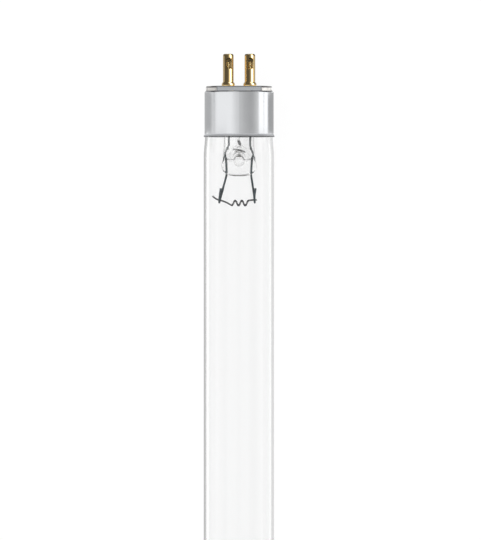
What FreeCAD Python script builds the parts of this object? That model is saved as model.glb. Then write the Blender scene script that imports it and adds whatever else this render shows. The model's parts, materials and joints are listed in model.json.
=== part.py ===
import FreeCAD, Part
import math
import os

from FreeCAD import Placement, Rotation, Vector

# Low-pressure UVC germicidal lamp tube of the T5 size, with a two-pin G5 cap at each end.
# The lamp lies along X and rests on the lips of its caps, on the plane Z = 0. The origin is on that
# plane, under the middle of the lamp. Lengths are in millimetres and angles in degrees.
# One end is drawn in its own end frame: x = 0 is the face of the cap, +x points out along the pins, -x
# points into the lamp and the lamp's axis is y = z = 0. There, a depth is a distance below the face, and
# sideways is towards -y, so that left is +y and right is -y. End A is at +X. End B is the same end turned
# half a turn about the vertical.

# Lamp
face_to_face = 135.9          # between the faces of the two caps

# Cap shell, drawn from aluminium sheet
shell_diameter = 15.2
shell_sheet = 0.3
shell_height = 11.15
shell_edge_radius = 0.3
lip_flare = 0.2               # of the lip, out from the wall
lip_height = 0.25
lip_chamfer = 0.1
plateau_height = 1.1          # the raised end that carries the pins
plateau_inset = 0.3           # of its round sides, in from the wall
plateau_across_flats = 10.7
plateau_edge_radius = 0.25

# Insulating plate that carries the pins
plate_thickness = 1.2
boss_margin = 1.4             # of the raised boss round the two pins
boss_clearance = 0.03

# Contact pins, tubes of thin brass closed at the tip
pin_spacing = 4.75
pin_diameter = 2.35
pin_length = 7.1
pin_wall = 0.42
pin_tip_radius = 0.4
collar_diameter = 2.95
collar_height = 0.9
collar_edge = 0.25            # height of its upright rim
rivet_diameter = 3.2
rivet_height = 0.4
window_width = 1.2            # of the slot in the pin's upper side, over the end of the lead
window_from_tip = 0.8
window_length = 2.5
window_turn = 9               # degrees, from straight up to the right

# Glass tube
tube_diameter = 15.5
tube_wall = 0.75
rim_gap = 2.3                 # between the pins' rivets and the rim of the tube
rim_chamfer = 0.2
shoulder_length = 4.0
shoulder_clearance = 0.12     # between the widening glass and the mouth of the cap

# Cement that holds the cap on the neck of the glass
cement_thickness = 0.25
cement_margin = 0.5           # from the straight neck's two ends

# Stem: flare, tube and flattened press, one piece of glass
stem_diameter = 6.7
stem_wall = 0.6
seal_band = 1.0               # length of the flare's rim that is fused into the neck
flare_length = 3.6
stem_length = 4.4             # of the round tube below the flare
squeeze_length = 2.6          # over which the tube goes flat
press_height = 3.9            # of the flat
press_width = 7.7
press_thickness = 2.6
press_corner = 1.4
press_sag = 0.45              # of the middle of the foot, below its corners
hollow_end_inset = 1.2        # of the end of the hollow, from each edge of the press
hollow_share = 0.95           # of the squeezed length that is still hollow

# Exhaust tube inside the stem, melted shut after pumping
exhaust_diameter = 3.0
exhaust_wall = 0.5
exhaust_length = 4.6          # that stands up above the flat of the press
exhaust_taper = 2.0
exhaust_tip_diameter = 0.4
blow_hole_diameter = 2.1      # blown through the upper side of the press into the exhaust tube
blow_hole_drop = 0.5          # of its centre, below the top of the flat

# Lead-in wires
lead_diameter = 0.42
lead_bend = 1.2
lead_end_inset = 1.9          # of the outer lead's end, below the tip of its pin
lead_straight = 1.1           # that the lead runs on along the pin's line below the rivet
lead_top_rise = 1.7           # of the knee in the stem's tube, above its foot
left_top_inset = 0.55         # of that knee from the wall of the tube
right_top_inset = 0.25
lead_press_rise = 1.0         # of the knee where the lead enters the press, above the flat
left_press_inset = 0.95       # of that knee from the edge of the press
right_press_inset = 0.8
lead_foot_rise = 0.5          # of the knee above the foot of the press
foot_inset = 1.25             # of that knee from the edge of the press
lead_knee_drop = 2.6          # of the knee below the foot of the press
left_knee_spread = 0.9        # of that knee, out from the lead's place in the foot
right_knee_spread = 0.55

# Hooks, in which the leads are folded over the legs of the coil
left_hook_spread = 0.9        # out from the knee above
right_hook_spread = 0.25
hook_length = 3.4             # of the folded leg
fold_shift = 0.25             # of the folded leg's end, to the right
left_pad_width = 0.8          # of the squeezed flat of the folded leg
right_pad_width = 0.45
pad_thickness = 0.3
pad_length = 1.9
pad_foot_gap = 0.55           # between the flat and the foot of the hook
clamp_clearance = 0.01        # between the hook's wire and the leg of the coil
foot_clearance = 0.1          # between the leg of the coil and the turn of the hook

# Electrode: tungsten wound as a thread of this diameter, then coiled
thread_diameter = 0.36
electrode_drop = 5.85         # of the coil's axis, below the foot of the press
coil_radius = 0.56
coil_pitch = 1.47
coil_turns = 2.5
points_per_turn = 8
leg_length = 1.65             # from the left hook to the knee of the leg
leg_rise = 0.15               # of that knee, above the coil's axis
coil_lead_in = 1.15           # from that knee to the coil's first low point
left_tail = 1.3               # that stands out beyond the hook
left_tail_rise = 1.0
right_tail = 0.55
right_tail_rise = 0.05

# Drop of mercury, loose on the inside of the glass
drop_diameter = 1.4
drop_flattening = 0.8         # height of the drop as a share of its width
drop_place = -46.0            # along X

# Worked-out widths
shell_radius = shell_diameter / 2
shell_inside = shell_radius - shell_sheet
lip_radius = shell_radius + lip_flare
plateau_radius = shell_radius - plateau_inset
tube_radius = tube_diameter / 2
neck_radius = shell_inside - cement_thickness
neck_inside = neck_radius - tube_wall
pin_radius = pin_diameter / 2
stem_radius = stem_diameter / 2
stem_inside = stem_radius - stem_wall
hollow_end_width = press_width - 2 * hollow_end_inset
lead_radius = lead_diameter / 2
thread_radius = thread_diameter / 2
hook_radius = lead_radius + thread_radius + clamp_clearance
axis_height = max(lip_radius, tube_radius)

# Worked-out depths below the face of the cap
half_length = face_to_face / 2
plate_back = shell_sheet + plate_thickness
rivet_back = plate_back + rivet_height
rim_depth = rivet_back + rim_gap
band_foot = rim_depth + seal_band
flare_foot = band_foot + flare_length
throat_depth = flare_foot + stem_length
press_top = throat_depth + squeeze_length
press_foot = press_top + press_height
exhaust_tip_depth = press_top - exhaust_length
blow_hole_depth = press_top + blow_hole_drop
coil_depth = press_foot + electrode_drop
leg_depth = coil_depth - coil_radius
hook_foot = leg_depth + thread_radius + lead_diameter + foot_clearance
pad_foot = hook_foot - pad_foot_gap
pad_top = pad_foot - pad_length


def widening_length(growth):
    """The length in which the shoulder's first arc widens the glass by this much, up to half of it all."""
    rise = tube_radius - neck_radius
    radius = (shoulder_length * shoulder_length + rise * rise) / (4 * rise)
    growth = min(growth, rise / 2)
    return math.sqrt(2 * radius * growth - growth * growth)


# The shoulder starts where it clears both the wall and the lip of the cap
wall_growth = cement_thickness - shoulder_clearance
at_wall = shell_height - lip_height - lip_flare - widening_length(wall_growth)
at_lip = shell_height - widening_length(wall_growth + lip_flare)
shoulder_top = min(at_wall, at_lip)
shoulder_foot = shoulder_top + shoulder_length

# Worked-out sideways places of the leads, by side: -1 is left and 1 is right
top_places = {-1: left_top_inset - stem_inside, 1: stem_inside - right_top_inset}
press_places = {-1: left_press_inset - press_width / 2, 1: press_width / 2 - right_press_inset}
foot_places = {-1: foot_inset - press_width / 2, 1: press_width / 2 - foot_inset}
knee_places = {-1: foot_places[-1] - left_knee_spread, 1: foot_places[1] + right_knee_spread}
hook_places = {-1: knee_places[-1] - left_hook_spread, 1: knee_places[1] + right_hook_spread}
pad_widths = {-1: left_pad_width, 1: right_pad_width}

X_AXIS = Vector(1, 0, 0)
ORIGIN = Vector(0, 0, 0)
arc_share = 0.45              # of the shorter run beside a corner, taken by its widest arc
match_reach = 1e-4            # within which an edge counts as lying in a plane


# Points and curves

def at(sideways, depth, up=0.0):
    """A point of the end frame."""
    return Vector(-depth, -sideways, up)


def profile_point(depth, radius):
    """A point of a turned profile, above the lamp's axis."""
    return Vector(-depth, 0, radius)


def line(start, end):
    return Part.LineSegment(start, end).toShape()


def polyline(points):
    return [line(a, b) for a, b in zip(points, points[1:])]


def arc_from_axis(start, end):
    """An arc that leaves start along the lamp's axis and ends at end."""
    run = end.x - start.x
    rise = end.z - start.z
    half_turn = math.atan2(abs(rise), abs(run))
    radius = (run * run + rise * rise) / (2 * abs(rise))
    along = math.copysign(radius * math.sin(half_turn), run)
    across = math.copysign(radius * (1 - math.cos(half_turn)), rise)
    middle = start + Vector(along, 0, across)
    return Part.Arc(start, middle, end).toShape()


def ogee(start, end):
    """Two arcs, in an S, from start to end, both ends along the lamp's axis."""
    middle = (start + end) * 0.5
    return [arc_from_axis(start, middle), arc_from_axis(end, middle)]


def turned(edges):
    """A solid turned about the lamp's axis from a closed profile."""
    face = Part.Face(Part.Wire(Part.__sortEdges__(edges)))
    return face.revolve(ORIGIN, X_AXIS, 360)


def rod(radius, top, foot, sideways=0.0):
    """A cylinder along the lamp's axis between two depths."""
    return Part.makeCylinder(radius, foot - top, at(sideways, foot), X_AXIS)


def wire_route(corners, bend=None):
    """Straight runs with tangent arcs. Without a bend radius, each arc is as large as its runs allow."""
    edges = []
    start = corners[0]
    for before, corner, after in zip(corners, corners[1:], corners[2:]):
        back = before - corner
        ahead = after - corner
        half_turn = (math.pi - back.getAngle(ahead)) / 2
        room = arc_share * min(back.Length, ahead.Length)
        cut = min(room, bend * math.tan(half_turn)) if bend else room
        radius = cut / math.tan(half_turn)
        back.normalize()
        ahead.normalize()
        inward = (back + ahead).normalize()
        middle = corner + inward * (radius / math.cos(half_turn) - radius)
        edges.append(line(start, corner + back * cut))
        edges.append(Part.Arc(corner + back * cut, middle, corner + ahead * cut).toShape())
        start = corner + ahead * cut
    edges.append(line(start, corners[-1]))
    return Part.Wire(edges)


def drawn_wire(route, radius):
    """A round wire of this radius along a route."""
    first = route.Edges[0]
    start = first.FirstParameter
    section = Part.Circle(first.valueAt(start), first.tangentAt(start), radius)
    return route.makePipe(Part.Face(Part.Wire(section.toShape())))


def smooth_route(points):
    """One smooth curve through all the points."""
    curve = Part.BSplineCurve()
    curve.interpolate(points)
    return Part.Wire(curve.toShape())


def lies_at_depth(edge, depth):
    """Whether an edge lies whole in the plane across the lamp at this depth."""
    box = edge.BoundBox
    return max(abs(box.XMin + depth), abs(box.XMax + depth)) < match_reach


def edges_at_depth(shape, depth):
    return [edge for edge in shape.Edges if lies_at_depth(edge, depth)]


def obround(length, width, depth):
    """A closed outline with round ends, across the lamp, longer sideways: two straights and two arcs."""
    radius = width / 2
    shift = (length - width) / 2
    upper_left, upper_right, lower_right, lower_left = four_corners(shift, radius, depth)
    right = Part.Arc(upper_right, at(shift + radius, depth), lower_right).toShape()
    left = Part.Arc(lower_left, at(-shift - radius, depth), upper_left).toShape()
    return Part.Wire([line(upper_left, upper_right), right, line(lower_right, lower_left), left])


def four_corners(sideways, up, depth):
    """The corners of a rectangle across the lamp, from the upper left one round by the right."""
    signs = [(-1, 1), (1, 1), (1, -1), (-1, -1)]
    return [at(side * sideways, depth, height * up) for side, height in signs]


def ring_of_arcs(radius, depth, split):
    """A circle across the lamp in four arcs, parted at an angle from the vertical."""
    corners = four_corners(radius * math.sin(split), radius * math.cos(split), depth)
    middles = [at(0, depth, radius), at(radius, depth), at(0, depth, -radius), at(-radius, depth)]
    ends = corners[1:] + corners[:1]
    return Part.Wire([Part.Arc(a, m, b).toShape() for a, m, b in zip(corners, middles, ends)])


# Glass tube

def glass_tube():
    """The tube with a narrower neck at each end."""
    middle = half_length
    outside = [
        profile_point(rim_depth, neck_radius),
        profile_point(shoulder_top, neck_radius),
        profile_point(shoulder_foot, tube_radius),
        profile_point(middle, tube_radius),
    ]
    inside = [point - Vector(0, 0, tube_wall) for point in outside]
    edges = []
    for top, neck, foot, centre in (outside, inside):
        edges.append(line(top, neck))
        edges.extend(ogee(neck, foot))
        edges.append(line(foot, centre))
    edges.append(line(outside[0], inside[0]))
    edges.append(line(outside[-1], inside[-1]))
    half = turned(edges)
    rim = edges_at_depth(half, rim_depth)
    half = half.makeChamfer(rim_chamfer, [e for e in rim if e.BoundBox.ZMax > neck_radius - rim_chamfer])
    other = half.copy()
    other.rotate(Vector(-middle, 0, 0), Vector(0, 0, 1), 180)
    return half.fuse(other).removeSplitter()


# Cap

def plateau(radius, half_width, depth):
    """The raised end of the cap: a disc with a flat above and a flat below."""
    disc = rod(radius, 0, depth)
    bar = Part.makeBox(depth, 2 * radius, 2 * half_width, at(radius, depth, -half_width))
    return disc.common(bar)


def lipped_cup(top, sheet):
    """A solid cup with a lip turned out at its foot, or with a sheet given, the room inside that cup."""
    lip_top = shell_height - lip_height + sheet / 2
    wall = shell_radius - sheet
    lip = lip_radius - sheet
    outline = [
        profile_point(top, 0),
        profile_point(top, wall),
        profile_point(lip_top - lip_flare, wall),
        profile_point(lip_top, lip),
        profile_point(shell_height, lip),
        profile_point(shell_height, 0),
        profile_point(top, 0),
    ]
    return turned(polyline(outline))


def cap_shell():
    """A drawn cup with a raised end, an opening for the plate's boss and a lip turned out at its foot."""
    body = lipped_cup(plateau_height, 0)
    body = body.makeFillet(shell_edge_radius, edges_at_depth(body, plateau_height))
    raised = plateau(plateau_radius, plateau_across_flats / 2, plateau_height + shell_sheet)
    raised = raised.makeFillet(plateau_edge_radius, edges_at_depth(raised, 0))
    shell = body.fuse(raised)
    shell = shell.makeChamfer(lip_chamfer, edges_at_depth(shell, shell_height))
    hollow = lipped_cup(plateau_height + shell_sheet, shell_sheet)
    inner = plateau(plateau_radius - shell_sheet, plateau_across_flats / 2 - shell_sheet, shell_height)
    inner = inner.cut(rod(shell_radius, 0, shell_sheet))
    opening = boss(shell_sheet, boss_clearance)
    return shell.cut(hollow.fuse(inner)).cut(opening)


def boss(depth, margin):
    """The raised middle of the plate, round both pins, from the face down."""
    width = 2 * (boss_margin + pin_radius + margin)
    outline = obround(pin_spacing + width, width, depth)
    return Part.Face(outline).extrude(Vector(depth, 0, 0))


def insulating_plate():
    """The plate under the raised end, with a boss that fills the opening and a hole for each pin."""
    radius = plateau_radius - shell_sheet - boss_clearance
    half_width = plateau_across_flats / 2 - shell_sheet - boss_clearance
    plate = plateau(radius, half_width, plate_back).cut(rod(shell_radius, 0, shell_sheet))
    plate = plate.fuse(boss(shell_sheet, 0)).removeSplitter()
    for side in (-1, 1):
        plate = plate.cut(rod(pin_radius, -shell_sheet, 2 * plate_back, side * pin_spacing / 2))
    return plate


def contact_pin():
    """A hollow pin with a collar on the face, a riveted rim behind the plate and a slot over its lead."""
    bore_radius = pin_radius - pin_wall
    collar_radius = collar_diameter / 2
    rivet_radius = rivet_diameter / 2
    outside = [
        profile_point(-pin_length, 0),
        profile_point(-pin_length, pin_radius),
        profile_point(-collar_height, pin_radius),
    ]
    foot = [
        profile_point(-collar_edge, collar_radius),
        profile_point(0, collar_radius),
        profile_point(0, pin_radius),
        profile_point(plate_back, pin_radius),
        profile_point(plate_back, rivet_radius),
        profile_point(rivet_back, bore_radius + rivet_height),
        profile_point(rivet_back, bore_radius),
        profile_point(pin_wall - pin_length, bore_radius),
        profile_point(pin_wall - pin_length, 0),
        profile_point(-pin_length, 0),
    ]
    pin = turned(polyline(outside) + [arc_from_axis(foot[0], outside[-1])] + polyline(foot))
    pin = pin.makeFillet(pin_tip_radius, edges_at_depth(pin, -pin_length))
    half_width = window_width / 2
    window_foot = pin_length - window_from_tip - window_length
    straight = window_length - half_width
    slot = Part.makeBox(straight, window_width, pin_radius, Vector(window_foot, -half_width, 0))
    arch = Part.makeCylinder(half_width, pin_radius, Vector(window_foot + straight, 0, 0))
    window = slot.fuse(arch)
    window.rotate(ORIGIN, X_AXIS, window_turn)
    return pin.cut(window)


def cement_ring():
    """The ring of cement between the neck of the glass and the wall of the cap."""
    top = rim_depth + cement_margin
    foot = shoulder_top - cement_margin
    return rod(shell_inside, top, foot).cut(rod(neck_radius, top, foot))


# Stem

def flared_tube():
    """The stem's tube, with a trumpet flare that is fused into the neck."""
    rise = neck_inside - stem_radius
    flare_radius = (rise * rise + flare_length * flare_length) / (2 * rise)
    inner_radius = flare_radius + stem_wall
    rim_inside = neck_inside - stem_wall
    reach = stem_radius + flare_radius - rim_inside
    flare_top = flare_foot - math.sqrt(inner_radius * inner_radius - reach * reach)
    outside = arc_from_axis(profile_point(flare_foot, stem_radius), profile_point(band_foot, neck_inside))
    inside = arc_from_axis(profile_point(flare_foot, stem_inside), profile_point(flare_top, rim_inside))
    band = polyline([
        profile_point(flare_top, rim_inside),
        profile_point(rim_depth, rim_inside),
        profile_point(rim_depth, neck_inside),
        profile_point(band_foot, neck_inside),
    ])
    tube = polyline([
        profile_point(flare_foot, stem_radius),
        profile_point(throat_depth, stem_radius),
        profile_point(throat_depth, stem_inside),
        profile_point(flare_foot, stem_inside),
    ])
    return turned([outside, inside] + band + tube)


def press():
    """The flattened end of the stem: round at the throat, flat at the foot, with rounded lower corners."""
    split = math.atan2((press_width - press_thickness) / 2, press_thickness / 2)
    throat = ring_of_arcs(stem_radius, throat_depth, split)
    flat = obround(press_width, press_thickness, press_top)
    squeezed = Part.makeLoft([throat, flat], True)
    slab = Part.Face(flat).extrude(Vector(-press_height, 0, 0))
    hollow_ring = ring_of_arcs(stem_inside, throat_depth, split)
    hollow_foot = throat_depth + hollow_share * squeeze_length
    hollow_end = obround(hollow_end_width, stem_wall, hollow_foot)
    hollow = Part.makeLoft([hollow_ring, hollow_end], True)
    return squeezed.cut(hollow).fuse(slab.common(press_plan()))


def press_plan():
    """The outline of the press seen from above, as a slab: a foot that sags, between rounded corners."""
    half_width = press_width / 2
    corner_depth = press_foot - press_sag
    left_top = at(-half_width, throat_depth)
    right_top = at(half_width, throat_depth)
    right_foot = at(half_width, corner_depth)
    left_foot = at(-half_width, corner_depth)
    foot = Part.Arc(right_foot, at(0, press_foot), left_foot).toShape()
    outline = Part.Wire(polyline([left_foot, left_top, right_top, right_foot]) + [foot])
    plan = Part.Face(outline).extrude(Vector(0, 0, press_thickness))
    plan.translate(Vector(0, 0, -press_thickness / 2))
    upright = [edge for edge in plan.Edges if edge.BoundBox.ZLength > press_thickness / 2]
    corners = [edge for edge in upright if lies_at_depth(edge, corner_depth)]
    return plan.makeFillet(press_corner, corners)


def exhaust_tube():
    """The exhaust tube, from the tip that was melted shut down into the press."""
    radius = exhaust_diameter / 2
    tip_radius = exhaust_tip_diameter / 2
    shoulder = profile_point(exhaust_tip_depth + exhaust_taper, radius)
    tip = profile_point(exhaust_tip_depth, tip_radius)
    foot = profile_point(press_top, radius)
    axis = polyline([tip, profile_point(exhaust_tip_depth, 0), profile_point(press_top, 0), foot, shoulder])
    return turned([arc_from_axis(shoulder, tip)] + axis)


def stem(leads):
    """One piece of glass: flare, tube, press and exhaust tube, closed round the leads."""
    glass = flared_tube().fuse(press()).fuse(exhaust_tube())
    bore = rod(exhaust_diameter / 2 - exhaust_wall, exhaust_tip_depth + exhaust_taper, blow_hole_depth)
    hole = Part.makeCylinder(blow_hole_diameter / 2, press_thickness, at(0, blow_hole_depth))
    glass = glass.cut(bore.fuse(hole)).removeSplitter()
    for lead in leads:
        glass = glass.cut(lead)
    return glass


# Leads and electrode

def press_point(side, depth):
    """A point of the straight run of a lead through the press."""
    top = at(press_places[side], press_top - lead_press_rise)
    foot = at(foot_places[side], press_foot - lead_foot_rise)
    return top + (foot - top) * ((depth + top.x) / (top.x - foot.x))


def outer_lead(side):
    """The wire from a pin down to the weld in the middle of the press."""
    pin_line = side * pin_spacing / 2
    corners = [
        at(pin_line, lead_end_inset - pin_length),
        at(pin_line, rivet_back + lead_straight),
        at(top_places[side], throat_depth - lead_top_rise),
        at(press_places[side], press_top - lead_press_rise),
        press_point(side, (press_top + press_foot) / 2),
    ]
    return drawn_wire(wire_route(corners, lead_bend), lead_radius)


def inner_lead(side):
    """The wire from the weld down to its hook, folded up again over the leg of the coil and squeezed."""
    turn_depth = hook_foot - lead_radius
    place = hook_places[side]
    corners = [
        press_point(side, (press_top + press_foot) / 2),
        at(foot_places[side], press_foot - lead_foot_rise),
        at(knee_places[side], press_foot + lead_knee_drop),
        at(place, pad_top, -hook_radius),
        at(place, turn_depth, -hook_radius),
        at(place, turn_depth, hook_radius),
        at(place, pad_top, hook_radius),
        at(place + fold_shift, hook_foot - hook_length, hook_radius),
    ]
    wire = drawn_wire(wire_route(corners, lead_bend), lead_radius)
    pad = Part.Face(obround(pad_widths[side], pad_thickness, pad_foot)).extrude(Vector(pad_length, 0, 0))
    pad.translate(at(place, 0, hook_radius))
    return wire.fuse(pad)


def electrode():
    """The coil between the hooks, with a leg through each hook and a short tail beyond it."""
    knee = hook_places[-1] + leg_length
    points = [
        at(hook_places[-1] - left_tail, leg_depth - left_tail_rise),
        at(hook_places[-1], leg_depth),
        at(knee, coil_depth - leg_rise),
    ]
    for step in range(round(coil_turns * points_per_turn) + 1):
        angle = 2 * math.pi * step / points_per_turn
        sideways = knee + coil_lead_in + coil_pitch * step / points_per_turn
        depth = coil_depth + coil_radius * math.cos(angle)
        points.append(at(sideways, depth, coil_radius * math.sin(angle)))
    points += [
        at(hook_places[1], leg_depth),
        at(hook_places[1] + right_tail, leg_depth - right_tail_rise),
    ]
    return drawn_wire(smooth_route(points), thread_radius)


def mercury_drop():
    """A flattened drop that rests on the inside of the glass."""
    radius = drop_diameter / 2
    drop = Part.makeSphere(radius)
    squash = FreeCAD.Matrix()
    squash.scale(1, 1, drop_flattening)
    drop = drop.transformGeometry(squash)
    floor = axis_height - (tube_radius - tube_wall)
    drop.translate(Vector(drop_place, 0, floor + radius * drop_flattening))
    return drop


# Both ends of the lamp

def end_pieces():
    """The pieces of one end, in the end frame, by name, with a gap in the name for the end's letter."""
    sides = {1: -1, 2: 1}
    outer = {number: outer_lead(side) for number, side in sides.items()}
    inner = {number: inner_lead(side) for number, side in sides.items()}
    pieces = {
        "cap_shell_%s": cap_shell(),
        "insulating_plate_%s": insulating_plate(),
        "cement_ring_%s": cement_ring(),
        "stem_%s": stem(list(outer.values()) + list(inner.values())),
        "electrode_coil_%s": electrode(),
    }
    for number, side in sides.items():
        pin = contact_pin()
        pin.translate(at(side * pin_spacing / 2, 0))
        pieces["contact_pin_%%s%d" % number] = pin
        pieces["outer_lead_%%s%d" % number] = outer[number]
        pieces["inner_lead_%%s%d" % number] = inner[number]
    return pieces


def lamp():
    """All pieces, in the lamp's own frame."""
    end_a = Placement(Vector(half_length, 0, axis_height), Rotation())
    end_b = Placement(Vector(-half_length, 0, axis_height), Rotation(Vector(0, 0, 1), 180))
    pieces = {}
    for name, shape in end_pieces().items():
        for end, place in (("a", end_a), ("b", end_b)):
            placed = shape.copy()
            placed.Placement = place.multiply(shape.Placement)
            pieces[name % end] = placed
    tube = glass_tube()
    tube.Placement = end_a.multiply(tube.Placement)
    pieces["glass_tube"] = tube
    pieces["mercury_drop"] = mercury_drop()
    return pieces


os.makedirs("parts", exist_ok=True)
for name, shape in lamp().items():
    shape.exportStep("parts/%s.step" % name)
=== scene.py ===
import json
import math

import bpy
from mathutils import Matrix, Vector

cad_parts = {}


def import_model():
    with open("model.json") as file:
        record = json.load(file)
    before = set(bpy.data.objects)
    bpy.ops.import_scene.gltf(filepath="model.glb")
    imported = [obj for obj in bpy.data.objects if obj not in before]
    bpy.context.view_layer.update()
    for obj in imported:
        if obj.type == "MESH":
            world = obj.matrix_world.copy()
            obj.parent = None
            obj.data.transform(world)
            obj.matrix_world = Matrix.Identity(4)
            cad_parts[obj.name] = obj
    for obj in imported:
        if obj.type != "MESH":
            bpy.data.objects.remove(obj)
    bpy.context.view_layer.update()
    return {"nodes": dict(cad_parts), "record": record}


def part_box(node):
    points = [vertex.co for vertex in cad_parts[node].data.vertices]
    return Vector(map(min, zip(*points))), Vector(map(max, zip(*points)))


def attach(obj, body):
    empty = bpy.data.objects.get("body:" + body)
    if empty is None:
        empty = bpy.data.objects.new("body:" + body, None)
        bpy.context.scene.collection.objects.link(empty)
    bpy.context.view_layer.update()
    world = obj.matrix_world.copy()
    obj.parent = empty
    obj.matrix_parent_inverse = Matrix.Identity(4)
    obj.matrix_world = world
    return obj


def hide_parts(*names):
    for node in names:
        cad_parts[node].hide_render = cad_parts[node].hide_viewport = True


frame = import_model()

# Lengths are in metres. The lamp lies along X, with end A at +X, and its pins are side by side along Y.
MM = 0.001
tube_low, tube_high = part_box("glass_tube")
cap_low, cap_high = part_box("cap_shell_a")
AXIS_HEIGHT = (tube_low[2] + tube_high[2]) / 2
FACE = cap_high[0]
LEDGE_X = FACE - 1.1 * MM
MOUTH_X = cap_low[0]
PIN_SPACING = 4.75 * MM
# On the raised end of a cap, from the axis: its flats, and the inner edge and end of the blocks beside them
FLAT_HEIGHT = 5.1 * MM
BLOCK_EDGE = 4.8 * MM
BLOCK_END = 7.0 * MM

WHITE = (1, 1, 1, 1)
BLACK = (0, 0, 0, 1)


# Shader maths

class Value:
    """An output socket of a shader tree, so that maths on it is written as a plain expression."""

    def __init__(self, shader, socket):
        self.shader = shader
        self.socket = socket

    def __add__(self, other):
        return self.shader.maths("ADD", self, other)

    def __radd__(self, other):
        return self.shader.maths("ADD", other, self)

    def __sub__(self, other):
        return self.shader.maths("SUBTRACT", self, other)

    def __rsub__(self, other):
        return self.shader.maths("SUBTRACT", other, self)

    def __mul__(self, other):
        return self.shader.maths("MULTIPLY", self, other)

    def __rmul__(self, other):
        return self.shader.maths("MULTIPLY", other, self)

    def __truediv__(self, other):
        return self.shader.maths("DIVIDE", self, other)


class Shader:
    """The node tree of one material or of the world."""

    def __init__(self, owner):
        owner.use_nodes = True
        self.tree = owner.node_tree
        self.tree.nodes.clear()

    def add(self, kind, settings, values, output=0):
        """A node with its settings made first, then the numbers or links of its sockets. Gives one output."""
        node = self.tree.nodes.new(kind)
        for name, setting in settings.items():
            if name == "stops":
                self.set_stops(node.color_ramp, setting)
            else:
                setattr(node, name, setting)
        for name, value in values.items():
            self.feed(node.inputs[name], value)
        return Value(self, node.outputs[output]) if node.outputs else node

    def feed(self, socket, value):
        if isinstance(value, Value):
            self.tree.links.new(value.socket, socket)
        else:
            socket.default_value = value

    def set_stops(self, ramp, stops):
        while len(ramp.elements) < len(stops):
            ramp.elements.new(0.5)
        for element, (position, level) in zip(ramp.elements, stops):
            element.position = position
            element.color = (level, level, level, 1)

    def maths(self, operation, *values):
        return self.add("ShaderNodeMath", {"operation": operation}, dict(enumerate(values)))

    def size(self, value):
        """The value without its sign."""
        return self.maths("ABSOLUTE", value)

    def strongest(self, first, *others):
        """The highest of several values."""
        for other in others:
            first = self.maths("MAXIMUM", first, other)
        return first

    def between(self, value, low, high, start=0.0, end=1.0):
        """Runs smoothly from start to end as value goes from low to high."""
        settings = {"interpolation_type": "SMOOTHSTEP"}
        sockets = {"Value": value, "From Min": low, "From Max": high, "To Min": start, "To Max": end}
        return self.add("ShaderNodeMapRange", settings, sockets)

    def stripe(self, value, middle, core, edge, strength=1.0):
        """Full strength up to the core's distance from the middle, and nothing from the edge on."""
        return self.between(self.size(value - middle), core, edge, strength, 0.0)

    def position(self, scale, centre=(0, 0, 0)):
        """Object coordinates, centred and scaled."""
        where = self.add("ShaderNodeTexCoord", {}, {}, "Object")
        moved = self.add("ShaderNodeVectorMath", {"operation": "SUBTRACT"}, {0: where, 1: centre})
        return self.add("ShaderNodeVectorMath", {"operation": "MULTIPLY"}, {0: moved, 1: scale})

    def from_axis(self, scale=1.0, sideways=0.0):
        """The place along the lamp, across it and above it, from its axis or from a line beside the axis."""
        return self.split(self.position((scale, scale, scale), (0, -sideways, AXIS_HEIGHT)))

    def split(self, vector):
        parts = self.add("ShaderNodeSeparateXYZ", {}, {"Vector": vector}).socket.node
        return [Value(self, output) for output in parts.outputs]

    def noise(self, vector, scale, detail=3.0, roughness=0.55):
        values = {"Vector": vector, "Scale": scale, "Detail": detail, "Roughness": roughness}
        return self.add("ShaderNodeTexNoise", {}, values, "Fac")

    def grain(self, fineness, detail=3.0, roughness=0.55):
        """Noise with about this many grains in a metre, the same in all directions or one number for each."""
        scale = fineness if isinstance(fineness, tuple) else (fineness, fineness, fineness)
        return self.noise(self.position(scale), 1.0, detail, roughness)

    def mix(self, factor, first, second):
        """Two colours mixed. The Mix node has its colour sockets at these numbers."""
        node = self.add("ShaderNodeMix", {"data_type": "RGBA"}, {}).socket.node
        for number, value in ((0, factor), (6, first), (7, second)):
            self.feed(node.inputs[number], value)
        return Value(self, node.outputs[2])

    def bump(self, height, strength, distance):
        values = {"Strength": strength, "Distance": distance, "Height": height}
        return self.add("ShaderNodeBump", {}, values, "Normal")

    def light_path(self, output):
        return self.add("ShaderNodeLightPath", {}, {}, output)

    def surface(self, values):
        return self.add("ShaderNodeBsdfPrincipled", {}, values)

    def transparent(self, colour=WHITE):
        return self.add("ShaderNodeBsdfTransparent", {}, {"Color": colour})

    def emission(self, level):
        return self.add("ShaderNodeEmission", {}, {"Color": level, "Strength": 1.0})

    def mix_surfaces(self, factor, first, second):
        return self.add("ShaderNodeMixShader", {}, {0: factor, 1: first, 2: second})

    def finish(self, surface, volume=None):
        links = {"Surface": surface}
        if volume:
            links["Volume"] = volume
        self.add("ShaderNodeOutputMaterial", {}, links)


def material(name):
    made = bpy.data.materials.new(name)
    return made, Shader(made)


def along_and_around(shader, along_scale, around_scale):
    """Coordinates that follow the lamp's round wall: along its axis and by the angle round it."""
    x, y, z = shader.from_axis()
    angle = shader.maths("ARCTAN2", y, z)
    values = {"X": x * along_scale, "Y": angle * around_scale, "Z": 0.0}
    return shader.add("ShaderNodeCombineXYZ", {}, values)


# Finishes

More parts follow.
